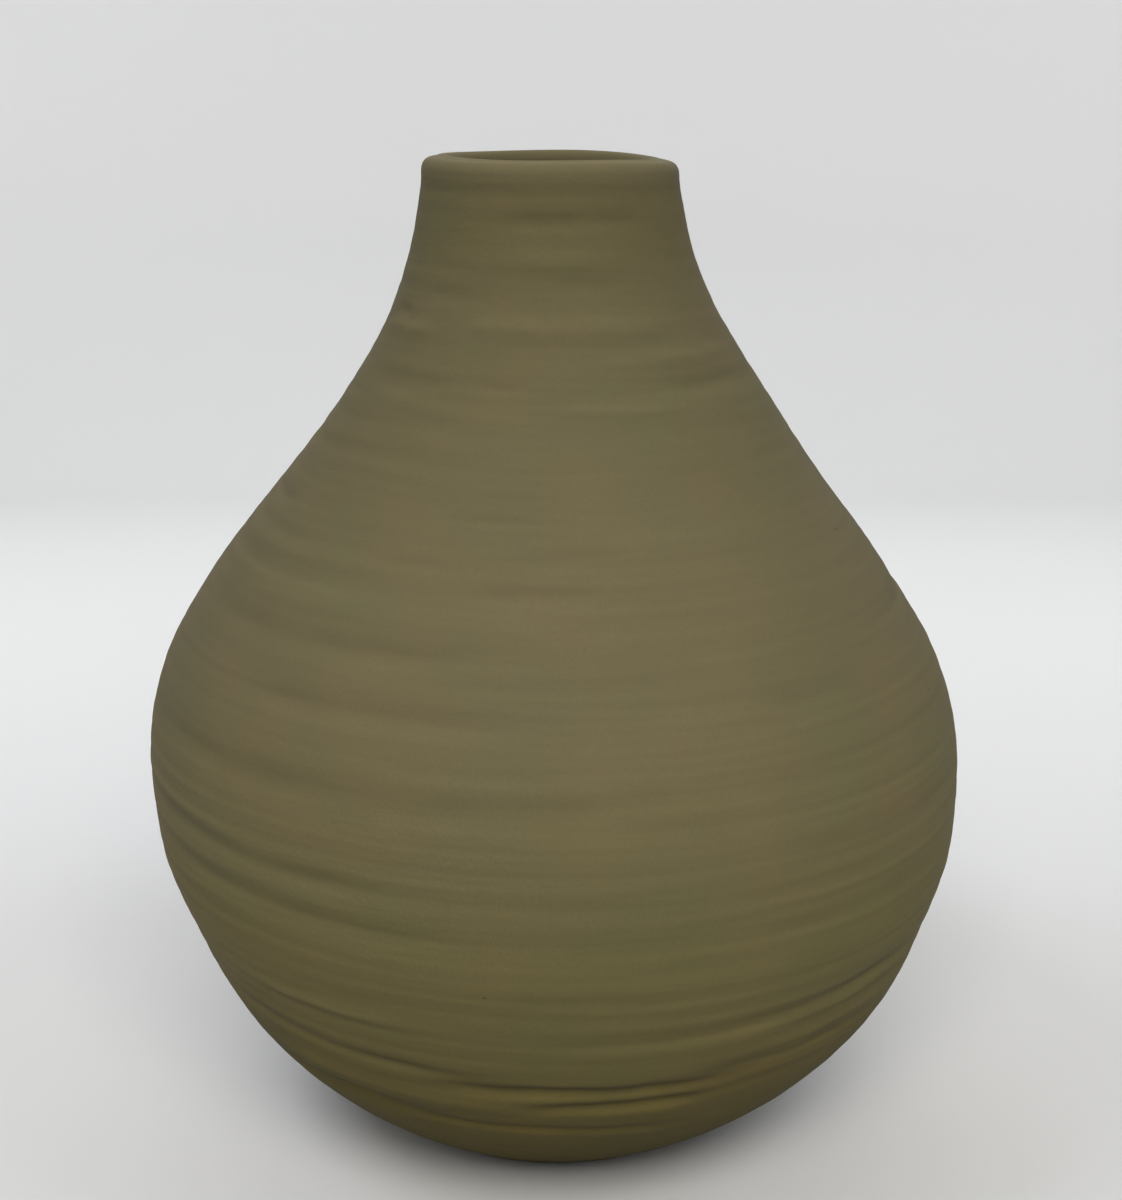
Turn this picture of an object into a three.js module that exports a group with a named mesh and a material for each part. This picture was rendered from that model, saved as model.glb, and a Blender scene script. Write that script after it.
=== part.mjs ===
// Wheel-thrown stoneware bottle vase: a low round belly, a long sloping shoulder and a short open neck.
//
// The wall is built as a potter builds a tall pot in sections: rings of thrown clay stand on a floor disc, each
// with a pointed ridge round its top edge that sits in a matching groove in the bottom edge of the ring above.
// The joints are luted with slip, and the pot is fired as one rigid body.
//
// Millimetres, +Z up. The origin is on the plane that the vase rests on, at the centre of its foot.

import * as THREE from 'three';

// The outside, from the foot up. A "reach" is the length of a curve's handle where it leaves or meets a point.
const HEIGHT = 255;
const FOOT_RADIUS = 45.5;
const FOOT_SLOPE = THREE.MathUtils.degToRad(58);
const FOOT_REACH = 5;
const BELLY_RADIUS = 106.8;
const BELLY_HEIGHT = 104;
const BELLY_REACH_BELOW = 75;
const BELLY_REACH_ABOVE = 17;
const SHOULDER_RADIUS = 77.3;
const SHOULDER_HEIGHT = 164.4;
const SHOULDER_SLOPE = THREE.MathUtils.degToRad(51);
const SHOULDER_REACH_BELOW = 29;
const SHOULDER_REACH_ABOVE = 60;
const NECK_RADIUS = 32.8;
const NECK_HEIGHT = 250;
const NECK_TAPER = THREE.MathUtils.degToRad(3);
const NECK_REACH = 18;

// The wall's thickness: heavy low down, thin through the shoulder, heavy again at the lip.
const LOW_WALL = 9.5;
const LOW_WALL_TOP = 20;
const THIN_WALL = 7;
const THIN_WALL_FROM = 120;
const THIN_WALL_TO = 205;
const LIP_WALL = 8.5;
const LIP_CREST_RADIUS = 28.2;

// The floor, and the foot ring that holds it off the table.
const FOOT_DEPTH = 5;
const FOOT_INNER_RADIUS = 36;
const FOOT_EDGE_ROUND = 2.5;
const FOOT_DRAFT = 1.5;
const FLOOR_TOP = 15;
const FLOOR_FLAT_RADIUS = 44;

// Heights on the outside at which one section ends and the next begins.
const FLOOR_SEAM = 10;
const LOWER_BELLY_SEAM = 49.6;
const MIDDLE_BELLY_SEAM = 92;
const UPPER_BELLY_SEAM = 121;
const LOWER_SHOULDER_SEAM = 163;
const UPPER_SHOULDER_SEAM = 214;
const NECK_SEAM = 246;

// The ridge and groove of each joint: where it starts and ends across the wall, and how tall it is.
const RIDGE_START = 0.3;
const RIDGE_END = 0.7;
const RIDGE_HEIGHT = 3;

// Fineness of the surfaces.
const SEGMENTS = 48;
const STEP = 13;
const ARC_STEPS = 4;

// A curve that leaves one point in a direction and arrives at another in a direction.
function sweep(from, leaving, reachFrom, to, arriving, reachTo) {
  return new THREE.CubicBezierCurve(
    from,
    from.clone().addScaledVector(leaving, reachFrom),
    to.clone().addScaledVector(arriving, -reachTo),
    to,
  );
}

// The outside of the wall in the (radius, height) plane, from the foot's edge to where the lip starts to round.
function makeOutside() {
  const foot = new THREE.Vector2(FOOT_RADIUS, 0);
  const belly = new THREE.Vector2(BELLY_RADIUS, BELLY_HEIGHT);
  const shoulder = new THREE.Vector2(SHOULDER_RADIUS, SHOULDER_HEIGHT);
  const neck = new THREE.Vector2(NECK_RADIUS, NECK_HEIGHT);
  const outwards = new THREE.Vector2(Math.cos(FOOT_SLOPE), Math.sin(FOOT_SLOPE));
  const upwards = new THREE.Vector2(0, 1);
  const inwards = new THREE.Vector2(-Math.cos(SHOULDER_SLOPE), Math.sin(SHOULDER_SLOPE));
  const tapering = new THREE.Vector2(-Math.sin(NECK_TAPER), Math.cos(NECK_TAPER));
  const path = new THREE.CurvePath();
  path.add(sweep(foot, outwards, FOOT_REACH, belly, upwards, BELLY_REACH_BELOW));
  path.add(sweep(belly, upwards, BELLY_REACH_ABOVE, shoulder, inwards, SHOULDER_REACH_BELOW));
  path.add(sweep(shoulder, inwards, SHOULDER_REACH_ABOVE, neck, tapering, NECK_REACH));
  return path;
}

const outside = makeOutside();

// How far along the outside, from 0 to 1, a height is reached.
function alongAt(height) {
  let below = 0;
  let above = 1;
  for (let i = 0; i < 50; i += 1) {
    const middle = (below + above) / 2;
    if (outside.getPoint(middle).y < height) {
      below = middle;
    } else {
      above = middle;
    }
  }
  return (below + above) / 2;
}

// The wall's thickness at a height on the outside.
function thicknessAt(height) {
  const thinning = THREE.MathUtils.smoothstep(height, LOW_WALL_TOP, THIN_WALL_FROM);
  const thickening = THREE.MathUtils.smoothstep(height, THIN_WALL_TO, NECK_HEIGHT);
  const rising = THREE.MathUtils.lerp(LOW_WALL, THIN_WALL, thinning);
  return THREE.MathUtils.lerp(rising, LIP_WALL, thickening);
}

// A point in the wall: along the outside, then square into it by a share of the thickness, where 1 is the inside.
function wallPoint(along, depth) {
  const point = outside.getPoint(along);
  const tangent = outside.getTangent(along);
  const into = new THREE.Vector2(-tangent.y, tangent.x);
  return point.clone().addScaledVector(into, thicknessAt(point.y) * depth);
}

// Points along one side of the wall, both ends included.
function wallSide(from, to, depth) {
  const steps = Math.max(2, Math.round(outside.getLength() * Math.abs(to - from) / STEP));
  const points = [];
  for (let i = 0; i <= steps; i += 1) {
    points.push(wallPoint(THREE.MathUtils.lerp(from, to, i / steps), depth));
  }
  return points;
}

// The joint between two sections, between the outside and the inside: a ridge that points up along the wall.
function ridge(along) {
  const middle = wallPoint(along, (RIDGE_START + RIDGE_END) / 2);
  const tip = middle.addScaledVector(outside.getTangent(along), RIDGE_HEIGHT);
  return [wallPoint(along, RIDGE_START), tip, wallPoint(along, RIDGE_END)];
}

// A ring of wall between two seams, grooved below and ridged above.
function wallSection(fromHeight, toHeight) {
  const from = alongAt(fromHeight);
  const to = alongAt(toHeight);
  return [
    ...wallSide(from, to, 0),
    ...ridge(to),
    ...wallSide(to, from, 1),
    ...ridge(from).reverse(),
    wallPoint(from, 0),
  ];
}

// The lip: the top of the neck's wall, closed by two quarter ellipses that meet at the crest.
function lipSection() {
  const from = alongAt(NECK_SEAM);
  const outerEnd = wallPoint(1, 0);
  const innerEnd = wallPoint(1, 1);
  const outerRound = new THREE.EllipseCurve(
    LIP_CREST_RADIUS, outerEnd.y, outerEnd.x - LIP_CREST_RADIUS, HEIGHT - outerEnd.y, 0, Math.PI / 2,
  );
  const innerRound = new THREE.EllipseCurve(
    LIP_CREST_RADIUS, innerEnd.y, LIP_CREST_RADIUS - innerEnd.x, HEIGHT - innerEnd.y, Math.PI / 2, Math.PI,
  );
  return [
    ...wallSide(from, 1, 0),
    ...outerRound.getPoints(ARC_STEPS).slice(1),
    ...innerRound.getPoints(ARC_STEPS).slice(1, -1),
    ...wallSide(1, from, 1),
    ...ridge(from).reverse(),
    wallPoint(from, 0),
  ];
}

// The floor: a disc whose edge turns up to meet the wall, with a soft corner inside.
function floorSection() {
  const from = alongAt(FOOT_DEPTH);
  const to = alongAt(FLOOR_SEAM);
  const innerEdge = wallPoint(to, 1);
  const slope = outside.getTangent(to);
  const corner = new THREE.Vector2(innerEdge.x - (innerEdge.y - FLOOR_TOP) * slope.x / slope.y, FLOOR_TOP);
  const flatEdge = new THREE.Vector2(FLOOR_FLAT_RADIUS, FLOOR_TOP);
  const round = new THREE.QuadraticBezierCurve(innerEdge, corner, flatEdge);
  return [
    new THREE.Vector2(0, FOOT_DEPTH),
    ...wallSide(from, to, 0),
    ...ridge(to),
    ...round.getPoints(ARC_STEPS),
    new THREE.Vector2(0, FLOOR_TOP),
  ];
}

// The foot ring: a flat resting face with rounded edges, hollow in the middle.
function footSection() {
  const top = alongAt(FOOT_DEPTH);
  const outerStart = alongAt(FOOT_EDGE_ROUND);
  const corner = new THREE.Vector2(FOOT_RADIUS, 0);
  const outerFlat = new THREE.Vector2(FOOT_RADIUS - FOOT_EDGE_ROUND, 0);
  const innerFlat = new THREE.Vector2(FOOT_INNER_RADIUS + FOOT_DRAFT, 0);
  const innerTop = new THREE.Vector2(FOOT_INNER_RADIUS, FOOT_DEPTH);
  const edge = new THREE.QuadraticBezierCurve(outerFlat, corner, wallPoint(outerStart, 0));
  return [
    innerFlat,
    ...edge.getPoints(ARC_STEPS),
    wallPoint(top, 0),
    innerTop,
    innerFlat,
  ];
}

// Turns a profile round the vase's axis into a named solid.
function turned(name, profile, colour) {
  const geometry = new THREE.LatheGeometry(profile, SEGMENTS);
  geometry.rotateX(Math.PI / 2);
  const material = new THREE.MeshStandardMaterial({ color: colour, roughness: 0.85, metalness: 0 });
  const mesh = new THREE.Mesh(geometry, material);
  mesh.name = name;
  return mesh;
}

// Matte olive stoneware, a little darker where the pot was trimmed underneath.
const TRIMMED_CLAY = 0x6b6246;
const THROWN_CLAY = 0x7b7152;

const vase = new THREE.Group();
vase.add(
  turned('foot_ring', footSection(), TRIMMED_CLAY),
  turned('floor_disc', floorSection(), TRIMMED_CLAY),
  turned('lower_belly', wallSection(FLOOR_SEAM, LOWER_BELLY_SEAM), THROWN_CLAY),
  turned('middle_belly', wallSection(LOWER_BELLY_SEAM, MIDDLE_BELLY_SEAM), THROWN_CLAY),
  turned('upper_belly', wallSection(MIDDLE_BELLY_SEAM, UPPER_BELLY_SEAM), THROWN_CLAY),
  turned('lower_shoulder', wallSection(UPPER_BELLY_SEAM, LOWER_SHOULDER_SEAM), THROWN_CLAY),
  turned('upper_shoulder', wallSection(LOWER_SHOULDER_SEAM, UPPER_SHOULDER_SEAM), THROWN_CLAY),
  turned('neck', wallSection(UPPER_SHOULDER_SEAM, NECK_SEAM), THROWN_CLAY),
  turned('lip', lipSection(), THROWN_CLAY),
);

export default vase;
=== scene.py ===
"""A hand-thrown stoneware bottle vase: its fine surface, its clay and the studio around it. Metres, +Z up.

The pot is one long profile, from the middle of its underside, up the outside, over the lip and down the
inside to the floor, turned round the axis. The thrown surface (rings, grooves, lean) is added to it once for
the whole pot, and then each section of the wall takes its own rows, so that no seam shows. Angles are seen
from above: 0 faces the viewer and positive turns to the viewer's right. The pot's sizes are in millimetres
until its meshes are made, and the clay's patterns and the studio are in metres.
"""

import math

import bpy
import numpy as np
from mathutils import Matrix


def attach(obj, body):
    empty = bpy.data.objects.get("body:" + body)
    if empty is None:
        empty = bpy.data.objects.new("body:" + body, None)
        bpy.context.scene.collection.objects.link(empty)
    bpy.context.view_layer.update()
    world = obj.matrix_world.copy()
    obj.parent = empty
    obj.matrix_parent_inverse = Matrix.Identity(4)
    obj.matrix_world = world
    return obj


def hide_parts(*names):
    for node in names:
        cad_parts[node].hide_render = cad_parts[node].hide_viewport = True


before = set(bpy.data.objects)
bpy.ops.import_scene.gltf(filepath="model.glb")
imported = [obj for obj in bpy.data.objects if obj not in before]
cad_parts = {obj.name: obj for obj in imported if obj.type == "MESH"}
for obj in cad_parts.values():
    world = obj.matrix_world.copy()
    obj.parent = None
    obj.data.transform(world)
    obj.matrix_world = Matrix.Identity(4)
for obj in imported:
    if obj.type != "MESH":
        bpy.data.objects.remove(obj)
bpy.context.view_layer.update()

MM = 0.001
SEED = 41

# The same outline and wall as the solids. A "reach" is a curve's handle at the point it leaves or meets.
HEIGHT = 255
FOOT_RADIUS = 45.5
FOOT_SLOPE = math.radians(58)
FOOT_REACH = 5
BELLY_RADIUS = 106.8
BELLY_HEIGHT = 104
BELLY_REACH_BELOW = 75
BELLY_REACH_ABOVE = 17
SHOULDER_RADIUS = 77.3
SHOULDER_HEIGHT = 164.4
SHOULDER_SLOPE = math.radians(51)
SHOULDER_REACH_BELOW = 29
SHOULDER_REACH_ABOVE = 60
NECK_RADIUS = 32.8
NECK_HEIGHT = 250
NECK_TAPER = math.radians(3)
NECK_REACH = 18
LOW_WALL = 9.5
LOW_WALL_TOP = 20
THIN_WALL = 7
THIN_WALL_FROM = 120
THIN_WALL_TO = 205
LIP_WALL = 8.5
LIP_CREST_RADIUS = 28.2
FOOT_DEPTH = 5
FOOT_INNER_RADIUS = 36
FOOT_EDGE_ROUND = 2.5
FOOT_DRAFT = 1.5
FLOOR_TOP = 15
FLOOR_FLAT_RADIUS = 44

# Heights on the outside where each section of the wall starts and ends.
SECTIONS = {
    "lower_belly": (10, 49.6),
    "middle_belly": (49.6, 92),
    "upper_belly": (92, 121),
    "lower_shoulder": (121, 163),
    "upper_shoulder": (163, 214),
    "neck": (214, 246),
}
FLOOR_SEAM = SECTIONS["lower_belly"][0]
LIP_SEAM = SECTIONS["neck"][1]

# The ridge of each joint: where it starts and ends across the wall, and how tall it is.
RIDGE_START = 0.3
RIDGE_END = 0.7
RIDGE_HEIGHT = 3

# Fineness of the surface: columns round the pot, the distance between rows on each part of the profile, and
# the points on a round corner and on a curve of the outline.
COLUMNS = 480
OUTSIDE_STEP = 0.7
CRISP_STEP = 0.5
LIP_STEP = 0.4
INSIDE_STEP = 2
EDGE_STEP = 0.3
ROUND_POINTS = 9
CURVE_POINTS = 800

# The floor and the recess start this far from the axis, and a point on the axis closes them.
AXIS_GAP = INSIDE_STEP / 2


# ---------------------------------------------------------------- the profile

def bezier(points, count):
    """Points on a Bezier curve of any degree, its two ends included."""
    t = np.linspace(0, 1, count)[:, None]
    level = [np.array(p, float) * np.ones_like(t) for p in points]
    while len(level) > 1:
        level = [a + (b - a) * t for a, b in zip(level, level[1:])]
    return level[0]


def sweep(start, leaving, reach_from, end, arriving, reach_to):
    """A curve that leaves one point in a direction and arrives at another in a direction."""
    start, leaving, end, arriving = (np.array(v, float) for v in (start, leaving, end, arriving))
    return bezier([start, start + leaving * reach_from, end - arriving * reach_to, end], CURVE_POINTS)


def make_outside():
    """The outside as (radius, height), from the foot's corner to where the lip starts to round."""
    foot = (FOOT_RADIUS, 0)
    belly = (BELLY_RADIUS, BELLY_HEIGHT)
    shoulder = (SHOULDER_RADIUS, SHOULDER_HEIGHT)
    neck = (NECK_RADIUS, NECK_HEIGHT)
    outwards = (math.cos(FOOT_SLOPE), math.sin(FOOT_SLOPE))
    upwards = (0, 1)
    inwards = (-math.cos(SHOULDER_SLOPE), math.sin(SHOULDER_SLOPE))
    tapering = (-math.sin(NECK_TAPER), math.cos(NECK_TAPER))
    low = sweep(foot, outwards, FOOT_REACH, belly, upwards, BELLY_REACH_BELOW)
    middle = sweep(belly, upwards, BELLY_REACH_ABOVE, shoulder, inwards, SHOULDER_REACH_BELOW)
    high = sweep(shoulder, inwards, SHOULDER_REACH_ABOVE, neck, tapering, NECK_REACH)
    return np.concatenate([low, middle[1:], high[1:]])


def distances(line):
    """How far along a line each of its points is."""
    steps = np.hypot(*np.diff(line, axis=0).T)
    return np.concatenate([[0], np.cumsum(steps)])


outside = make_outside()
outside_at = distances(outside)
outside_slope = np.gradient(outside, outside_at, axis=0)
outside_slope /= np.linalg.norm(outside_slope, axis=1)[:, None]


def smoothstep(start, end, value):
    """An even S from 0 at start to 1 at end, and level outside them. Start may be above end."""
    share = np.clip((value - start) / (end - start), 0, 1)
    return share * share * (3 - 2 * share)


def thickness(height):
    """The wall's thickness at a height on the outside."""
    rising = LOW_WALL + (THIN_WALL - LOW_WALL) * smoothstep(LOW_WALL_TOP, THIN_WALL_FROM, height)
    return rising + (LIP_WALL - rising) * smoothstep(THIN_WALL_TO, NECK_HEIGHT, height)


def wall_points(along, depth):
    """Points in the wall: a distance along the outside, then square into it by a share of the thickness."""
    along = np.atleast_1d(along)
    point = np.stack([np.interp(along, outside_at, outside[:, i]) for i in (0, 1)], axis=1)
    slope = np.stack([np.interp(along, outside_at, outside_slope[:, i]) for i in (0, 1)], axis=1)
    into = np.stack([-slope[:, 1], slope[:, 0]], axis=1)
    return point + into * (thickness(point[:, 1]) * depth)[:, None]


def along_at(height):
    """How far along the outside a height is reached."""
    return float(np.interp(height, outside[:, 1], outside_at))


def wall_run(from_height, to_height, depth, step):
    """The wall's surface from one height on the outside to another, ends included."""
    start = along_at(from_height)
    end = along_at(to_height)
    count = max(2, round(abs(end - start) / step))
    return wall_points(np.linspace(start, end, count + 1), depth)


def ridge(height):
    """The joint at a height, from the outer to the inner side of a ridge that points up the wall."""
    along = along_at(height)
    outer = wall_points(along, RIDGE_START)[0]
    inner = wall_points(along, RIDGE_END)[0]
    rise = np.array([np.interp(along, outside_at, outside_slope[:, i]) for i in (0, 1)])
    return np.array([outer, (outer + inner) / 2 + rise * RIDGE_HEIGHT, inner])


def straight(start, end, step):
    """Points on a straight line, ends included, with a close pair at each end so that corners stay crisp."""
    start = np.array(start, float)
    end = np.array(end, float)
    length = np.linalg.norm(end - start)
    middle = np.linspace(EDGE_STEP, length - EDGE_STEP, max(2, round(length / step)))
    at = np.concatenate([[0], middle, [length]]) / length
    return start + (end - start) * at[:, None]


def quarter(centre_radius, centre_height, wide, tall, start, end):
    """A quarter of an ellipse between two angles in degrees, as points about LIP_STEP apart."""
    count = round(math.pi / 4 * (abs(wide) + tall) / LIP_STEP)
    turn = np.linspace(math.radians(start), math.radians(end), count + 1)
    return np.stack([centre_radius + wide * np.cos(turn), centre_height + tall * np.sin(turn)], axis=1)


def lip_run():
    """The rounded lip: two quarter ellipses that meet at the crest."""
    crest = LIP_CREST_RADIUS
    outer_radius, outer_end = wall_points(outside_at[-1], 0)[0]
    inner_radius, inner_end = wall_points(outside_at[-1], 1)[0]
    outer = quarter(crest, outer_end, outer_radius - crest, HEIGHT - outer_end, 0, 90)
    inner = quarter(crest, inner_end, crest - inner_radius, HEIGHT - inner_end, 90, 180)
    return np.concatenate([outer, inner[1:]])


def floor_run():
    """The soft corner inside and the floor, from the wall to just off the axis."""
    along = along_at(FLOOR_SEAM)
    edge = wall_points(along, 1)[0]
    slope = wall_points(along + 1, 0)[0] - wall_points(along, 0)[0]
    corner = (edge[0] - (edge[1] - FLOOR_TOP) * slope[0] / slope[1], FLOOR_TOP)
    soft = bezier([edge, corner, (FLOOR_FLAT_RADIUS, FLOOR_TOP)], ROUND_POINTS)
    flat = straight((FLOOR_FLAT_RADIUS, FLOOR_TOP), (AXIS_GAP, FLOOR_TOP), INSIDE_STEP)
    return np.concatenate([soft, flat[1:]])


def foot_runs():
    """The underside and the foot, from just off the axis to the first seam, as (name, points)."""
    recess_edge = (FOOT_INNER_RADIUS, FOOT_DEPTH)
    rest_start = (FOOT_INNER_RADIUS + FOOT_DRAFT, 0)
    rest_end = (FOOT_RADIUS - FOOT_EDGE_ROUND, 0)
    side_start = wall_points(along_at(FOOT_EDGE_ROUND), 0)[0]
    return [
        ("recess", straight((AXIS_GAP, FOOT_DEPTH), recess_edge, INSIDE_STEP)),
        ("draft", straight(recess_edge, rest_start, EDGE_STEP)),
        ("rest", straight(rest_start, rest_end, EDGE_STEP)),
        ("foot_corner", bezier([rest_end, (FOOT_RADIUS, 0), side_start], ROUND_POINTS)),
        ("foot_side", wall_run(FOOT_EDGE_ROUND, FOOT_DEPTH, 0, OUTSIDE_STEP)),
        ("floor_side", wall_run(FOOT_DEPTH, FLOOR_SEAM, 0, OUTSIDE_STEP)),
    ]


def profile_runs():
    """The profile's stretches as (name, points), each starting on the last point of the one before."""
    runs = foot_runs()
    for name, (low, high) in SECTIONS.items():
        step = CRISP_STEP if name == "lower_belly" else OUTSIDE_STEP
        runs.append((name + "_outside", wall_run(low, high, 0, step)))
    runs.append(("lip_outside", wall_run(LIP_SEAM, NECK_HEIGHT, 0, LIP_STEP)))
    runs.append(("lip_round", lip_run()))
    runs.append(("lip_inside", wall_run(NECK_HEIGHT, LIP_SEAM, 1, LIP_STEP)))
    for name, (low, high) in reversed(SECTIONS.items()):
        runs.append((name + "_inside", wall_run(high, low, 1, INSIDE_STEP)))
    runs.append(("floor", floor_run()))
    return runs


def join_runs(runs):
    """The whole profile, and the first and last row of each named stretch of it."""
    rows = [runs[0][1][:1]]
    last = 0
    row_spans = {}
    for name, run in runs:
        rows.append(run[1:])
        row_spans[name] = (last, last + len(run) - 1)
        last = row_spans[name][1]
    return np.concatenate(rows), row_spans


profile, spans = join_runs(profile_runs())
heights = profile[:, 1]
angles = np.linspace(-math.pi, math.pi, COLUMNS, endpoint=False)


# ---------------------------------------------------------------- the thrown surface

# How far the pot's middle leans to the viewer's right at each height, as (height, lean).
LEAN = [
    (0, 0), (20, 0.8), (46, 1.3), (90, -0.2), (126, -1.4), (150, -1.8), (172, -1.3), (194, -0.1),
    (208, -0.2), (230, -1.3), (255, -1.6),
]

# How far the mean wall stands out from the smooth outline, as (height, swell).
SWELLS = [
    (0, 0), (22, 0.4), (38, 0.6), (50, 0.1), (62, -0.55), (80, 0.6), (92, 0.1), (110, -0.35), (132, 0.45),
    (146, 0.1), (162, 0.4), (198, 0.45), (216, -0.1), (242, -0.1), (250, -0.65), (255, -0.7),
]

# The lean and the swells are smoothed over this many millimetres of height.
SOFTENING = 10

# Grooves left by the fingers, as (height, angle, half length in degrees, climb to the right in mm per
# radian, depth, half width). A negative depth is a raised line.
GROOVES = [
    (29.9, 12, 8, 0, -0.2, 1.3), (33.2, -4, 20, -2.5, 1.0, 1.7), (35.9, -38, 16, -2.2, 1.35, 2.8),
    (42.0, -28, 20, -1.5, -0.7, 2.8), (42.3, 8, 12, 0.2, 1.5, 1.8), (43.6, 30, 12, 1, 0.22, 1.6),
    (47.8, 4, 20, -1.2, 1.4, 1.9), (50.3, 37, 16, 1.2, 0.65, 2.7), (52.6, -34, 22, -4, 0.62, 1.8),
    (58, 45, 13, 0.5, 0.45, 2.2), (60.4, 18, 16, 0.5, -0.18, 2.0), (62.8, -34, 12, 0, 0.15, 1.6),
    (63.2, 16, 16, 0.5, 0.22, 2.2), (64.2, 42, 17, 2.5, 0.74, 2.7), (66, -36, 18, 0, -0.35, 1.8),
    (70.5, -26, 8, 0, 0.1, 1.5), (73.8, -14, 10, 0, 0.08, 1.5), (75, 4, 14, 0.5, 0.1, 1.8),
    (88.5, 44, 18, 2, 0.24, 2.4), (90.3, -8, 30, -1.0, 0.13, 2.2), (91.6, -44, 28, -1.8, 0.32, 2.3),
    (98.5, 35, 10, 0, 0.08, 1.8), (101.3, -46, 25, -0.5, 0.36, 2.6), (104.5, 50, 20, 0.5, 0.22, 2.4),
    (120.6, -35, 42, -0.8, 0.38, 2.8), (128, -10, 12, 0, 0.08, 1.4), (138.3, -27, 22, 0, 0.36, 2.6),
    (138.5, 40, 10, 0, 0.2, 2.0), (145.3, 0, 16, -0.5, 0.1, 1.5), (150.3, -38, 32, -0.7, 0.28, 2.2),
    (157, -28, 32, 0, -0.22, 2.4), (161.8, -62, 20, 0, 0.14, 1.5), (163, -3, 11, 1, 0.22, 1.6),
    (166, -50, 26, 1, -0.12, 1.6), (167.6, -58, 8, 0, 0.14, 1.3), (167.8, -26, 8, 0.5, 0.14, 1.3),
    (169.6, 2, 9, 0, 0.14, 1.4), (172.8, 12, 30, 0, -0.08, 1.4), (174, -74, 9, 0, 0.22, 1.6),
    (177.2, -8, 10, 0, 0.1, 1.2), (181, -12, 10, 0, 0.08, 1.2), (194, 42, 14, 0, 0.18, 2.0),
    (196.5, -36, 12, 0, 0.1, 1.5), (199.7, 16, 18, -0.5, -0.2, 1.5), (200, -52, 12, 0, -0.14, 1.6),
    (204, -47, 14, 0, 0.3, 2.2), (204.5, -28, 12, 1.5, 0.14, 1.4), (204.6, -13, 7, 0, 0.18, 1.2),
    (203.2, 50, 26, -1.0, 0.26, 2.2), (210, 40, 26, 0, -0.33, 2.0), (213.2, 68, 12, 0, 0.2, 1.5),
    (213.4, 16, 32, -0.3, 0.08, 1.6), (216.4, -58, 14, 0, -0.26, 2.0), (217.4, 2, 46, 0, -0.3, 2.2),
    (219.6, -64, 6, 0, 0.24, 1.4), (224, -40, 12, 0, 0.14, 1.6), (227.3, 14, 14, -1, 0.16, 1.8),
    (232.4, 0, 30, 0, -0.24, 2.2), (241.8, 8, 30, 0, 0.36, 2.2), (247.6, -10, 80, 0, 0.14, 2.2),
]

# A wandering line is a sum of waves with these numbers of turns round the pot.
WANDER_TURNS = (1, 2, 3, 5)

# How a groove strays from its line, slowly and in small wobbles, and how unevenly deep it is.
GROOVE_STRAY = 0.25
GROOVE_WOBBLE = 0.13
GROOVE_WOBBLE_TURNS = 13
GROOVE_UNEVENNESS = 0.2
GROOVE_UNEVENNESS_TURNS = 9

# Random grooves on the side that can't be seen from the front: how many, and the range of each value. Their
# angles are from the middle of the back.
BACK_GROOVES = 44
BACK_HEIGHTS = (20, 246)
BACK_ANGLES = (-75, 75)
BACK_LENGTHS = (14, 45)
BACK_CLIMBS = (-2, 1)
BACK_DEPTHS = [-0.15, 0.12, 0.2, 0.28, 0.38]
BACK_WIDTHS = (1.4, 3)

# Fine rings everywhere outside, and wide finger rings inside: how many, how far apart and how deep.
FINE_RINGS = 46
FINE_WAVES = (2.2, 9)
FINE_DEPTH = 0.007
INNER_RINGS = 26
INNER_WAVES = (9, 22)
INNER_DEPTH = 0.07

# Both kinds of ring tilt, stray and wobble, fade in and out round the pot, and fill a band of its height.
RING_TILT = 0.8
RING_STRAY = 0.7
RING_WOBBLE = 0.2
RING_WOBBLE_TURNS = 7
RING_STRENGTH = 0.5
RING_FADING = 0.6
RING_FADING_TURNS = 2
RING_STRONGEST = 1.2
RING_BAND = 60

# Where the rings and swells come in, as (none, in full): heights, or for the last one a distance from the
# axis.
ABOVE_FOOT = (3, 14)
BELOW_LIP = (253, 249)
BELOW_MOUTH = (250, 240)
OFF_AXIS = (4, 30)

# The uneven lip's waves, as (turns round the pot, height, angle of a crest), and where they start.
LIP_WAVES = [(1, 0.4, -90), (2, 0.15, 0), (3, 0.2, 155)]
LIP_WAVES_FROM = 240

# How much fuller the lip's outer corner is than a quarter of an ellipse.
LIP_CORNER = 0.6

# How much thicker the wall is inside the mouth, and the heights over which that fades away below.
MOUTH_BEAD = 1.6
MOUTH_BEAD_FROM = 228
MOUTH_BEAD_TO = 249


def read_table(table, wanted):
    """A smooth curve through a table of (height, value), read at the wanted heights."""
    known = np.array(table, float)
    every_mm = np.arange(known[0, 0], known[-1, 0] + 1)
    values = np.interp(every_mm, known[:, 0], known[:, 1])
    weights = np.hanning(SOFTENING + 1)
    padded = np.pad(values, SOFTENING // 2, mode="edge")
    soft = np.convolve(padded, weights / weights.sum(), mode="valid")
    return np.interp(wanted, every_mm, soft)


def turned_away(angle, centre):
    """The angle from a centre, from -pi to pi."""
    return (angle - centre + math.pi) % (2 * math.pi) - math.pi


def wander(random, angle, size):
    """A slow wave round the pot that joins up with itself."""
    total = np.zeros_like(angle)
    for turns in WANDER_TURNS:
        total += size / turns * np.cos(turns * angle + random.uniform(0, 2 * math.pi))
    return total


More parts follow.
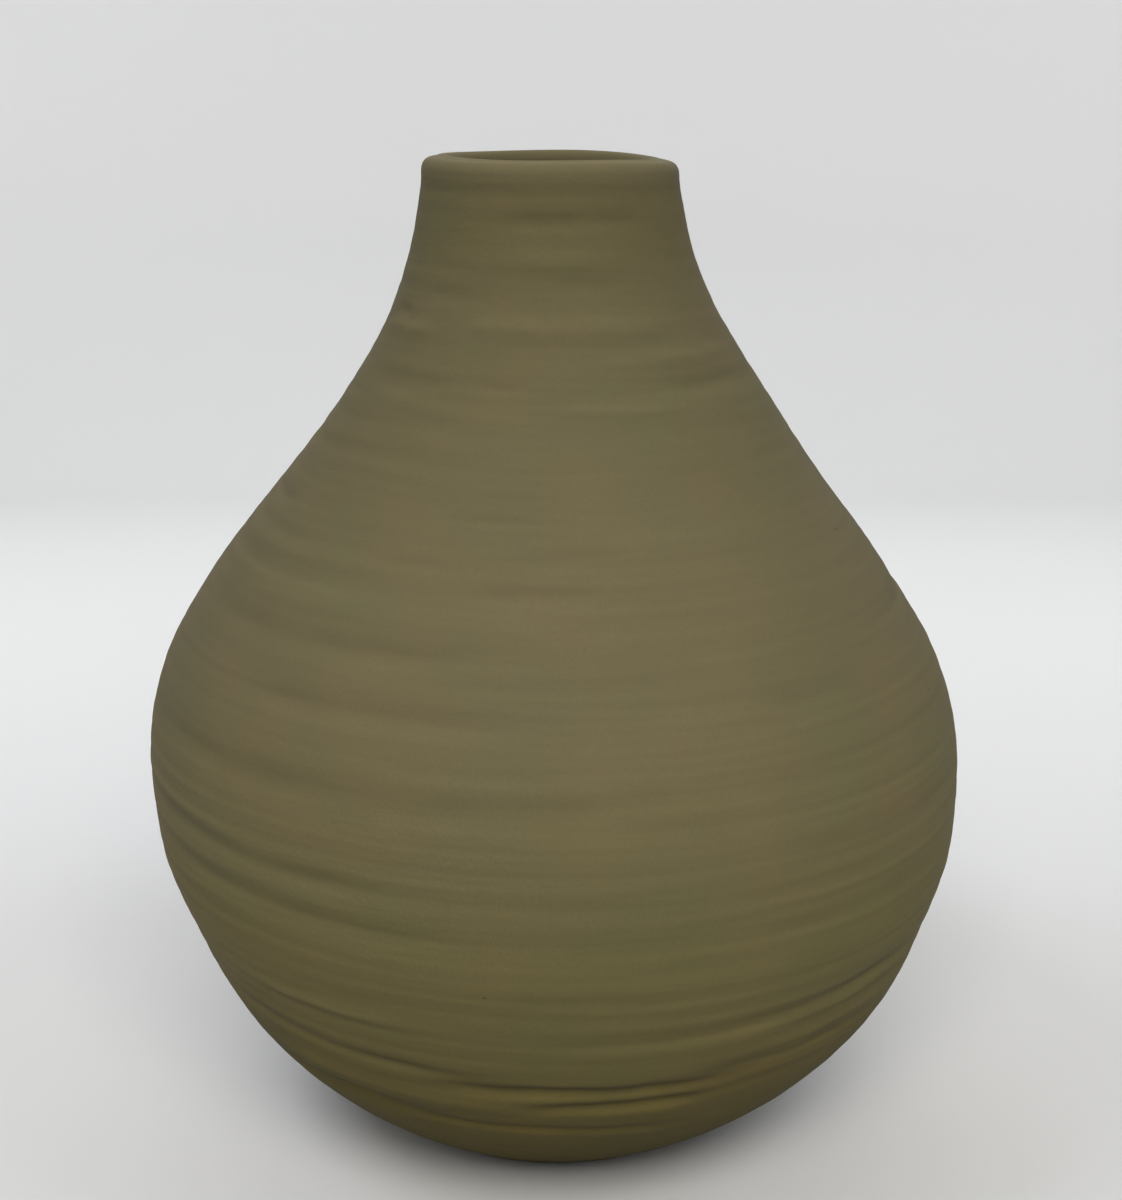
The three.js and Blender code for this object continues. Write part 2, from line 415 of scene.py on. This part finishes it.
def groove(random, mark):
    """How far one groove or raised line stands out from the wall, over the grid of rows and angles."""
    centre_height, centre_angle, half_length, climb, depth, half_width = mark
    away = turned_away(angles, math.radians(centre_angle))
    stray = wander(random, angles, GROOVE_STRAY)
    wobble = wander(random, GROOVE_WOBBLE_TURNS * angles, GROOVE_WOBBLE)
    line = centre_height + climb * away + stray + wobble
    across = (heights[:, None] - line[None, :]) / half_width
    unevenness = wander(random, GROOVE_UNEVENNESS_TURNS * angles, GROOVE_UNEVENNESS)
    fade = np.exp(-np.abs(away / math.radians(half_length)) ** 4) * (1 + unevenness)
    return -depth * np.exp(-across ** 2) * fade[None, :]


def back_grooves(random):
    """Grooves for the unseen side, of the same kinds as those in front."""
    marks = []
    for _ in range(BACK_GROOVES):
        height = random.uniform(*BACK_HEIGHTS)
        angle = 180 + random.uniform(*BACK_ANGLES)
        half_length = random.uniform(*BACK_LENGTHS)
        climb = random.uniform(*BACK_CLIMBS)
        depth = random.choice(BACK_DEPTHS)
        half_width = random.uniform(*BACK_WIDTHS)
        marks.append((height, angle, half_length, climb, depth, half_width))
    return marks


def rings(random, count, waves, depth):
    """Many faint rings of different spacing, each fading in and out round the pot."""
    total = np.zeros((len(heights), COLUMNS))
    tilted = heights[:, None] + RING_TILT * np.sin(angles)[None, :]
    for _ in range(count):
        wave = math.exp(random.uniform(math.log(waves[0]), math.log(waves[1])))
        stray = wander(random, angles, RING_STRAY)
        wobble = wander(random, RING_WOBBLE_TURNS * angles, RING_WOBBLE)
        place = tilted + (stray + wobble)[None, :]
        fading = wander(random, RING_FADING_TURNS * angles, RING_FADING)
        strength = np.clip(RING_STRENGTH + fading, 0, RING_STRONGEST)
        band = np.exp(-((heights - random.uniform(0, HEIGHT)) / RING_BAND) ** 2)
        ripple = np.cos(2 * math.pi * place / wave + random.uniform(0, 2 * math.pi))
        total += depth * wave ** 0.5 * band[:, None] * strength[None, :] * ripple
    return total


def find_sides():
    """Which rows are outside, on the round lip and inside, and each row's share of the way over the lip."""
    row = np.arange(len(profile))
    first_outside = spans["foot_side"][0]
    last_outside = spans["lip_outside"][1]
    first_inside = spans["lip_inside"][0]
    on_outside = ((row >= first_outside) & (row <= last_outside)).astype(float)
    on_lip = (row > last_outside) & (row < first_inside)
    on_inside = (row >= first_inside).astype(float)
    over_lip = np.clip((row - last_outside) / (first_inside - last_outside), 0, 1)
    return on_outside, on_lip, on_inside, over_lip


def outside_relief(on_outside):
    """The rings and grooves outside, over the grid of rows and angles."""
    random = np.random.default_rng(SEED)
    total = rings(random, FINE_RINGS, FINE_WAVES, FINE_DEPTH)
    for mark in GROOVES + back_grooves(random):
        total += groove(random, mark)
    fade = on_outside * smoothstep(*ABOVE_FOOT, heights) * smoothstep(*BELOW_LIP, heights)
    return total * fade[:, None]


def inside_relief(on_inside):
    """The finger rings inside, over the grid of rows and angles."""
    random = np.random.default_rng(SEED + 1)
    total = rings(random, INNER_RINGS, INNER_WAVES, INNER_DEPTH)
    fade = on_inside * smoothstep(*BELOW_MOUTH, heights) * smoothstep(*OFF_AXIS, profile[:, 0])
    return total * fade[:, None]


def outward_directions():
    """The direction out of the wall at each row, as (away from the axis, up)."""
    edge = np.gradient(profile, distances(profile), axis=0)
    out = np.stack([edge[:, 1], -edge[:, 0]], axis=1)
    return out / np.linalg.norm(out, axis=1)[:, None]


def fullness(on_outside, on_lip, out):
    """How far each whole row stands out from the plain profile: its swell, the bead and the lip's corner."""
    away, up = out[:, 0], out[:, 1]
    swell = read_table(SWELLS, heights) * np.where(on_lip, np.clip(away, 0, 1), on_outside)
    bead = MOUTH_BEAD * smoothstep(MOUTH_BEAD_FROM, MOUTH_BEAD_TO, heights) * np.clip(-away, 0, 1)
    corner = LIP_CORNER * np.where(on_lip & (away > 0), (2 * away * up) ** 2, 0)
    return swell * smoothstep(*ABOVE_FOOT, heights) + bead + corner


def lip_rise():
    """How far the uneven lip rises at each angle."""
    rise = np.zeros(COLUMNS)
    for turns, size, crest in LIP_WAVES:
        rise += size * np.cos(turns * (angles - math.radians(crest)))
    return rise


def turn_rows(radius, z, row_heights):
    """Points round the leaning axis, from a radius and a z over the grid, and each row's own height."""
    x = radius * np.sin(angles) + read_table(LEAN, row_heights)[:, None]
    y = -radius * np.cos(angles)
    return np.stack([x, y, z], axis=2)


def surface_normals(grid):
    """The unit normals over a grid of points."""
    down_rows = np.gradient(grid, axis=0)
    round_pot = np.roll(grid, -1, axis=1) - np.roll(grid, 1, axis=1)
    across = np.cross(round_pot, down_rows)
    return across / np.linalg.norm(across, axis=2)[:, :, None]


def shape_pot():
    """The pot's points and normals over the grid of rows and angles, and the marks that its painted light
    and shade follow.
    """
    on_outside, on_lip, on_inside, over_lip = find_sides()
    out = outward_directions()
    relief = outside_relief(on_outside)
    stands_out = relief + inside_relief(on_inside) + fullness(on_outside, on_lip, out)[:, None]
    radius = profile[:, 0][:, None] + stands_out * out[:, 0][:, None]
    z = heights[:, None] + stands_out * out[:, 1][:, None]
    z += smoothstep(LIP_WAVES_FROM, HEIGHT, heights)[:, None] * lip_rise()[None, :]
    grid = turn_rows(radius, z, heights)
    marks = {
        "relief": relief,
        "facing_up": -np.gradient(relief, distances(profile), axis=0),
        "inwards": np.repeat(over_lip[:, None], COLUMNS, axis=1),
    }
    return grid, surface_normals(grid), marks


points, normals, surface_marks = shape_pot()


# ---------------------------------------------------------------- the sections as meshes

def joint_rows(line):
    """The rows of a joint inside the wall, turned with the lean but without rings."""
    radius = np.repeat(line[:, 0][:, None], COLUMNS, axis=1)
    z = np.repeat(line[:, 1][:, None], COLUMNS, axis=1)
    return turn_rows(radius, z, line[:, 1])


def stretch(*names):
    """The row numbers of neighbouring stretches of the profile."""
    return np.arange(spans[names[0]][0], spans[names[-1]][1] + 1)


def gather(parts):
    """A mesh's points, normals and marks, from row numbers of the pot and joints as (radius, height)."""
    grid = []
    grid_normals = []
    marks = {mark: [] for mark in surface_marks}
    for part in parts:
        if part.ndim == 1:
            grid.append(points[part])
            grid_normals.append(normals[part])
            for mark, values in surface_marks.items():
                marks[mark].append(values[part])
        else:
            grid.append(joint_rows(part))
            grid_normals.append(np.zeros_like(grid[-1]) + (0, 0, 1))
            for mark in marks:
                marks[mark].append(np.zeros((len(part), COLUMNS)))
    joined = {mark: np.concatenate(values).ravel() for mark, values in marks.items()}
    return np.concatenate(grid), np.concatenate(grid_normals), joined


def ring_faces(rows, closed):
    """Quads between neighbouring rows, and back to the first row if closed."""
    column = np.arange(COLUMNS)
    after = (column + 1) % COLUMNS
    faces = []
    for row in range(rows if closed else rows - 1):
        here = row * COLUMNS
        there = (row + 1) % rows * COLUMNS
        faces.append(np.stack([here + column, here + after, there + after, there + column], axis=1))
    return np.concatenate(faces).tolist()


def pole_faces(start, centre, up):
    """Triangles from the row that begins at a vertex to the centre, facing up (1) or down (-1)."""
    faces = []
    for column in range(COLUMNS):
        here = start + column
        there = start + (column + 1) % COLUMNS
        faces.append((here, there, centre) if up > 0 else (there, here, centre))
    return faces


def make_mesh(name, parts, poles=()):
    """A closed mesh from lists of rows. Poles close it on the axis, as (height, row, up: 1 or -1)."""
    grid, grid_normals, marks = gather(parts)
    rows = len(grid)
    vertices = grid.reshape(-1, 3)
    vertex_normals = grid_normals.reshape(-1, 3)
    faces = ring_faces(rows, closed=not poles)
    for height, row, up in poles:
        start = row % rows * COLUMNS
        faces += pole_faces(start, len(vertices), up)
        vertices = np.vstack([vertices, (read_table(LEAN, height), 0, height)])
        vertex_normals = np.vstack([vertex_normals, (0, 0, up)])
        marks = {mark: np.append(values, values[start]) for mark, values in marks.items()}
    mesh = bpy.data.meshes.new(name)
    mesh.from_pydata((vertices * MM).tolist(), [], faces)
    mesh.shade_smooth()
    mesh.normals_split_custom_set_from_vertices(vertex_normals.tolist())
    for mark, values in marks.items():
        mesh.attributes.new(mark, "FLOAT", "POINT").data.foreach_set("value", values.astype(np.float32))
    mesh.validate()
    return mesh


# ---------------------------------------------------------------- the clay

class Nodes:
    """Short ways to add nodes to a material."""

    def __init__(self, name):
        self.material = bpy.data.materials.new(name)
        self.material.use_nodes = True
        self.tree = self.material.node_tree
        self.shader = self.tree.nodes["Principled BSDF"]
        self.place = self.tree.nodes.new("ShaderNodeTexCoord").outputs["Object"]

    def link(self, value, socket):
        """Links an output, or sets a plain value."""
        if isinstance(value, bpy.types.NodeSocket):
            self.tree.links.new(value, socket)
        else:
            socket.default_value = value

    def maths(self, operation, first, second):
        """Arithmetic on two numbers."""
        node = self.tree.nodes.new("ShaderNodeMath")
        node.operation = operation
        self.link(first, node.inputs[0])
        self.link(second, node.inputs[1])
        return node.outputs[0]

    def vector_maths(self, operation, first, second):
        """Arithmetic on two vectors or colours."""
        node = self.tree.nodes.new("ShaderNodeVectorMath")
        node.operation = operation
        self.link(first, node.inputs[0])
        self.link(second, node.inputs[1])
        return node.outputs[0]

    def surface(self, attribute):
        """A value stored on the mesh."""
        node = self.tree.nodes.new("ShaderNodeAttribute")
        node.attribute_name = attribute
        return node.outputs["Fac"]

    def noise(self, size, detail, squash):
        """Noise with features of a size in metres, flattened in height by squash, from 0 to 1 about 0.5."""
        node = self.tree.nodes.new("ShaderNodeTexNoise")
        node.inputs["Scale"].default_value = 1 / size
        node.inputs["Detail"].default_value = detail
        self.link(self.vector_maths("MULTIPLY", self.place, (1, 1, squash)), node.inputs["Vector"])
        return node.outputs["Fac"]

    def fit(self, value, low, high, to_low, to_high):
        """Maps a range to a range, held at its ends."""
        node = self.tree.nodes.new("ShaderNodeMapRange")
        self.link(value, node.inputs["Value"])
        node.inputs["From Min"].default_value = low
        node.inputs["From Max"].default_value = high
        node.inputs["To Min"].default_value = to_low
        node.inputs["To Max"].default_value = to_high
        return node.outputs["Result"]

    def blend(self, share, first, second):
        """Mixes two colours."""
        node = self.tree.nodes.new("ShaderNodeMix")
        node.data_type = "RGBA"
        self.link(share, node.inputs["Factor"])
        self.link(first, node.inputs["A"])
        self.link(second, node.inputs["B"])
        return node.outputs["Result"]

    def scale(self, colour, amount):
        """Makes a colour lighter or darker."""
        node = self.tree.nodes.new("ShaderNodeVectorMath")
        node.operation = "SCALE"
        self.link(colour, node.inputs[0])
        self.link(amount, node.inputs["Scale"])
        return node.outputs[0]

    def bump(self, height, depth, below=None):
        """Bump of a real depth in metres, on top of another bump."""
        node = self.tree.nodes.new("ShaderNodeBump")
        node.inputs["Distance"].default_value = depth
        self.link(height, node.inputs["Height"])
        if below is not None:
            self.link(below, node.inputs["Normal"])
        return node.outputs["Normal"]


# The two colours that each clay is mottled with, and its mean roughness.
CLAYS = {
    "thrown_stoneware": ((0.1255, 0.1025, 0.0512, 1), (0.115, 0.101, 0.0502, 1), 0.9),
    "trimmed_stoneware": ((0.106, 0.088, 0.040, 1), (0.097, 0.083, 0.038, 1), 0.92),
}
SHINE = 0.16
IRON = (0.035, 0.028, 0.02, 1)
IRON_COVER = 0.8

# Painted shade by height: the shares of its colour that the clay keeps at each height, as (height, red,
# green, blue). The clay is painted darker and less blue towards the foot, and darker up the neck, a little
# less so on the lip's round.
SHADE_BY_HEIGHT = [
    (0, 0.42, 0.39, 0.17), (14, 0.48, 0.45, 0.2), (30, 0.62, 0.58, 0.35), (47, 0.71, 0.675, 0.46),
    (51, 0.785, 0.765, 0.56), (66, 0.89, 0.89, 0.7), (80, 0.92, 0.92, 0.735), (105, 0.97, 0.97, 0.89),
    (140, 1, 1, 1), (170, 1, 1, 1), (205, 0.91, 0.91, 0.89), (222, 0.83, 0.83, 0.805),
    (240, 0.74, 0.74, 0.66), (249, 0.7, 0.7, 0.64), (251.5, 0.75, 0.76, 0.75), (255, 0.75, 0.76, 0.75),
]

# The clay's patterns, as (size, detail, how much flatter than wide).
MOTTLE = (0.03, 3, 1)
STREAK = (0.05, 3, 9)
FINE_STREAK = (0.02, 2, 14)
SMEAR = (0.03, 2, 8)
GRAIN = (0.0011, 2, 1)
FINE_GRAIN = (0.00045, 1, 1)

# How a value sets the clay's mix of colours, its lightness or its roughness, as (lowest value, highest
# value, result at the lowest, result at the highest).
MOTTLE_MIX = (0.35, 0.65, 0, 1)
GRAIN_ROUGHNESS = (0.3, 0.7, -0.05, 0.05)
STREAK_TONE = (0.3, 0.7, 0.98, 1.02)
FINE_STREAK_TONE = (0.3, 0.7, 0.99, 1.01)
GRAIN_TONE = (0.3, 0.7, 0.97, 1.03)
FINE_GRAIN_TONE = (0.3, 0.7, 0.975, 1.025)
# Painted shade: the clay is painted darker the deeper a groove is, and a little lighter on raised lines.
PAINTED_GROOVE_SHADE = (-1.0, 0.3, 0.84, 1.04)
# Painted light and shade: ring flanks that face up are painted lighter and those that face down darker.
PAINTED_SLOPE_LIGHT = (-0.8, 0.8, 0.36, 1.64)
# Painted highlight: the lip's round is painted lighter from its outer side over the crest and inwards.
PAINTED_LIP_HIGHLIGHT = (0.15, 0.42, 1, 1.6)
# Painted shade: the inside of the lip and of the pot is painted darker.
PAINTED_MOUTH_SHADE = (0.63, 0.85, 1, 0.42)

# Iron specks and pinholes: cells per metre, the share of cells that have none, and the speck's edge.
SPECK_CELLS = 130
SPECK_RARITY = 0.9
SPECK_EDGE = (0.03, 0.055)

# The depths of the bumps that are too fine for the mesh, and the fine grain's share of the grain's.
GRAIN_BUMP = 0.00012
FINE_GRAIN_SHARE = 0.5
SMEAR_BUMP = 0.0003
PINHOLE_BUMP = 0.0002


def fill_ramp(ramp, rows):
    """Sets a colour ramp's stops from rows of (position, red, green, blue)."""
    stops = ramp.color_ramp.elements
    while len(stops) < len(rows):
        stops.new(1)
    for stop, (position, red, green, blue) in zip(stops, rows):
        stop.position = position
        stop.color = (red, green, blue, 1)


def painted_shade_by_height(clay):
    """Painted shade up the pot: the clay's colour darkened by height, towards the foot and up the neck."""
    parts = clay.tree.nodes.new("ShaderNodeSeparateXYZ")
    clay.link(clay.place, parts.inputs[0])
    ramp = clay.tree.nodes.new("ShaderNodeValToRGB")
    clay.link(clay.maths("DIVIDE", parts.outputs["Z"], HEIGHT * MM), ramp.inputs[0])
    fill_ramp(ramp, [(height / HEIGHT, *tone) for height, *tone in SHADE_BY_HEIGHT])
    return ramp.outputs["Color"]


def find_specks(clay):
    """1 in the middle of each iron speck and 0 away from it."""
    cells = clay.tree.nodes.new("ShaderNodeTexVoronoi")
    cells.inputs["Scale"].default_value = SPECK_CELLS
    clay.link(clay.place, cells.inputs["Vector"])
    chosen = clay.tree.nodes.new("ShaderNodeSeparateColor")
    clay.link(cells.outputs["Color"], chosen.inputs[0])
    rare = clay.maths("GREATER_THAN", chosen.outputs[0], SPECK_RARITY)
    return clay.maths("MULTIPLY", rare, clay.fit(cells.outputs["Distance"], *SPECK_EDGE, 1, 0))


def lightness(clay, grain, fine_grain):
    """How light the clay is: streaks and grain. It adds painted shade in the grooves, on ring flanks that
    face down and inside the mouth, and painted highlights on raised lines, on ring flanks that face up and
    on the lip's round.
    """
    total = clay.fit(clay.noise(*STREAK), *STREAK_TONE)
    tones = [
        (clay.noise(*FINE_STREAK), FINE_STREAK_TONE),
        (grain, GRAIN_TONE),
        (fine_grain, FINE_GRAIN_TONE),
        # Painted shade in the grooves, on downward flanks and in the mouth; painted highlights on upward
        # flanks and the lip's round.
        (clay.surface("relief"), PAINTED_GROOVE_SHADE),
        (clay.surface("facing_up"), PAINTED_SLOPE_LIGHT),
        (clay.surface("inwards"), PAINTED_LIP_HIGHLIGHT),
        (clay.surface("inwards"), PAINTED_MOUTH_SHADE),
    ]
    for value, tone in tones:
        total = clay.maths("MULTIPLY", total, clay.fit(value, *tone))
    return total


def roughened(clay, grain, fine_grain, speck):
    """The surface's fine bumps: grain, smears along the rings and pinholes."""
    grains = clay.maths("ADD", grain, clay.maths("MULTIPLY", fine_grain, FINE_GRAIN_SHARE))
    rough = clay.bump(grains, GRAIN_BUMP)
    smeared = clay.bump(clay.noise(*SMEAR), SMEAR_BUMP, rough)
    return clay.bump(clay.maths("SUBTRACT", 1, speck), PINHOLE_BUMP, smeared)


def stoneware(name, brown, olive, roughness):
    """Unglazed clay with soft mottling, streaks along the rings, grain and sparse iron specks. It also has
    painted shade and highlights on the rings, the lip and the mouth, and painted shade towards the foot and
    up the neck.
    """
    clay = Nodes(name)
    grain = clay.noise(*GRAIN)
    fine_grain = clay.noise(*FINE_GRAIN)
    speck = find_specks(clay)
    mottled = clay.blend(clay.fit(clay.noise(*MOTTLE), *MOTTLE_MIX), brown, olive)
    lit = clay.scale(mottled, lightness(clay, grain, fine_grain))
    # Painted shade by height, darker towards the foot and up the neck.
    shaded = clay.vector_maths("MULTIPLY", lit, painted_shade_by_height(clay))
    specked = clay.blend(clay.maths("MULTIPLY", speck, IRON_COVER), shaded, IRON)
    grained = clay.maths("ADD", roughness, clay.fit(grain, *GRAIN_ROUGHNESS))
    clay.link(specked, clay.shader.inputs["Base Color"])
    clay.link(grained, clay.shader.inputs["Roughness"])
    clay.link(roughened(clay, grain, fine_grain, speck), clay.shader.inputs["Normal"])
    clay.shader.inputs["Specular IOR Level"].default_value = SHINE
    return clay.material


clays = {slot: stoneware(slot, *look) for slot, look in CLAYS.items()}


# ---------------------------------------------------------------- the pieces

def add_piece(node, slot, parts, poles=()):
    """Shows a finely made section of the pot in place of its CAD node."""
    mesh = make_mesh(node, parts, poles)
    mesh.materials.append(clays[slot])
    piece = bpy.data.objects.new(node + "_visual", mesh)
    bpy.context.scene.collection.objects.link(piece)
    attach(piece, "root")
    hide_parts(node)


def build_vase():
    """Every section of the pot, each in place of its CAD node."""
    add_piece("foot_ring", "trimmed_stoneware", [stretch("draft", "rest", "foot_corner", "foot_side")])
    floor_rows = [stretch("recess"), stretch("floor_side"), ridge(FLOOR_SEAM), stretch("floor")]
    add_piece("floor_disc", "trimmed_stoneware", floor_rows, [(FOOT_DEPTH, 0, -1), (FLOOR_TOP, -1, 1)])
    for name, (low, high) in SECTIONS.items():
        rows = [stretch(name + "_outside"), ridge(high), stretch(name + "_inside"), ridge(low)[::-1]]
        add_piece(name, "thrown_stoneware", rows)
    lip_rows = [stretch("lip_outside", "lip_round", "lip_inside"), ridge(LIP_SEAM)[::-1]]
    add_piece("lip", "thrown_stoneware", lip_rows)


build_vase()


# ---------------------------------------------------------------- the studio

FLOOR_REACH = 30
SWEEP_WIDTH = 5
SWEEP_START = 0.75
SWEEP_RADIUS = 0.2
SWEEP_STEPS = 60
WALL_TOP = 1.6
PAPER_COLOUR = (0.7, 0.7, 0.69, 1)
PAPER_ROUGHNESS = 0.9

# The paper glows faintly far from the pot, as if more lamps were there, so it stays pale to the horizon.
GLOW_FROM = 1.1
GLOW_TO = 1.7
GLOW = 0.42

# The sky's brightness, as (rise, brightness): rise is 0 at the horizon and 1 overhead.
SKY = [(0, 0.6), (0.3, 0.5), (0.6, 0.27), (1, 0.15)]

# The soft lights, as (name, place, point aimed at, width, height, power in watts, colour).
VASE_MIDDLE = (0, 0, HEIGHT * MM / 2)
WARM = (1, 0.97, 0.91)
COOL = (0.95, 1, 1.18)
NEUTRAL = (1, 1, 1)
CREAM = (1, 1, 0.98)
SOFTBOXES = [
    ("front_light", (0.04, -0.7, 0.68), VASE_MIDDLE, 0.5, 0.35, 5.3, WARM),
    ("left_light", (-0.85, -0.25, 1.35), VASE_MIDDLE, 0.6, 0.6, 5.0, COOL),
    ("right_light", (0.95, -0.3, 1.15), VASE_MIDDLE, 0.6, 0.6, 2.8, COOL),
    ("back_light", (0, 0.7, 0.55), VASE_MIDDLE, 0.8, 0.4, 1.6, NEUTRAL),
    ("paper_light", (-0.7, 0.4, 0.4), (-0.55, 0.95, 0.03), 0.9, 0.3, 1.0, CREAM),
    ("paper_light", (0.7, 0.4, 0.4), (0.55, 0.95, 0.03), 0.9, 0.3, 1.0, CREAM),
]

# The camera's place, its lens and sensor in millimetres, and its turn down and to the right in degrees.
CAMERA_PLACE = (0, -0.4956, 0.2786)
CAMERA_LENS = 58.32
CAMERA_SENSOR = 36
CAMERA_DOWN = 15.57
CAMERA_RIGHT = 0.13


def add_stage(name, corners, faces, paper):
    """Shows a piece of the stage."""
    mesh = bpy.data.meshes.new(name)
    mesh.from_pydata(corners, [], faces)
    mesh.shade_smooth()
    mesh.materials.append(paper)
    piece = bpy.data.objects.new(name, mesh)
    bpy.context.scene.collection.objects.link(piece)


def studio_paper():
    """Plain matt paper that glows more and more with its distance from the pot."""
    paper = Nodes("studio_paper")
    paper.shader.inputs["Base Color"].default_value = PAPER_COLOUR
    paper.shader.inputs["Roughness"].default_value = PAPER_ROUGHNESS
    distance = paper.tree.nodes.new("ShaderNodeVectorMath")
    distance.operation = "LENGTH"
    paper.link(paper.place, distance.inputs[0])
    glow = paper.fit(distance.outputs["Value"], GLOW_FROM, GLOW_TO, 0, GLOW)
    paper.shader.inputs["Emission Color"].default_value = (1, 1, 1, 1)
    paper.link(glow, paper.shader.inputs["Emission Strength"])
    return paper.material


def build_studio():
    """A pale floor that reaches to the horizon, with a sweep of the same paper curving up behind the pot."""
    paper = studio_paper()
    far = FLOOR_REACH
    floor_corners = [(-far, -far, 0), (far, -far, 0), (far, far, 0), (-far, far, 0)]
    add_stage("studio_floor", floor_corners, [(0, 1, 2, 3)], paper)
    side = []
    for turn in np.linspace(0, math.pi / 2, SWEEP_STEPS + 1):
        side.append((SWEEP_START + SWEEP_RADIUS * math.sin(turn), SWEEP_RADIUS * (1 - math.cos(turn))))
    side.append((SWEEP_START + SWEEP_RADIUS, WALL_TOP))
    corners = []
    for y, z in side:
        corners += [(-SWEEP_WIDTH / 2, y, z), (SWEEP_WIDTH / 2, y, z)]
    faces = [(2 * row, 2 * row + 1, 2 * row + 3, 2 * row + 2) for row in range(len(side) - 1)]
    add_stage("studio_sweep", corners, faces, paper)


def add_softbox(name, place, aim, width, height, power, colour):
    """A wide soft light aimed at a point and hidden from the camera."""
    lamp = bpy.data.lights.new(name, "AREA")
    lamp.shape = "RECTANGLE"
    lamp.size = width
    lamp.size_y = height
    lamp.energy = power
    lamp.color = colour
    box = bpy.data.objects.new(name, lamp)
    bpy.context.scene.collection.objects.link(box)
    box.location = place
    away = np.array(place) - np.array(aim)
    turn = math.atan2(away[0], -away[1])
    rise = math.atan2(away[2], math.hypot(away[0], away[1]))
    box.rotation_euler = (math.pi / 2 - rise, 0, turn)
    box.visible_camera = False


def light_studio():
    """A pale sky, and soft lights on the pot from all round and on the paper behind it."""
    sky = bpy.data.worlds.new("studio_sky")
    sky.use_nodes = True
    tree = sky.node_tree
    direction = tree.nodes.new("ShaderNodeTexCoord")
    parts = tree.nodes.new("ShaderNodeSeparateXYZ")
    ramp = tree.nodes.new("ShaderNodeValToRGB")
    fill_ramp(ramp, [(rise, light, light, light) for rise, light in SKY])
    tree.links.new(direction.outputs["Generated"], parts.inputs[0])
    tree.links.new(parts.outputs["Z"], ramp.inputs[0])
    tree.links.new(ramp.outputs["Color"], tree.nodes["Background"].inputs["Color"])
    bpy.context.scene.world = sky
    for softbox in SOFTBOXES:
        add_softbox(*softbox)


def place_camera():
    """A level-held lens looking a little down on the pot from close by."""
    data = bpy.data.cameras.new("camera")
    data.lens = CAMERA_LENS
    data.sensor_width = CAMERA_SENSOR
    camera = bpy.data.objects.new("camera", data)
    bpy.context.scene.collection.objects.link(camera)
    camera.location = CAMERA_PLACE
    camera.rotation_euler = (math.radians(90 - CAMERA_DOWN), 0, math.radians(-CAMERA_RIGHT))
    bpy.context.scene.camera = camera


build_studio()
light_studio()
place_camera()
bpy.context.scene.view_settings.view_transform = "Standard"
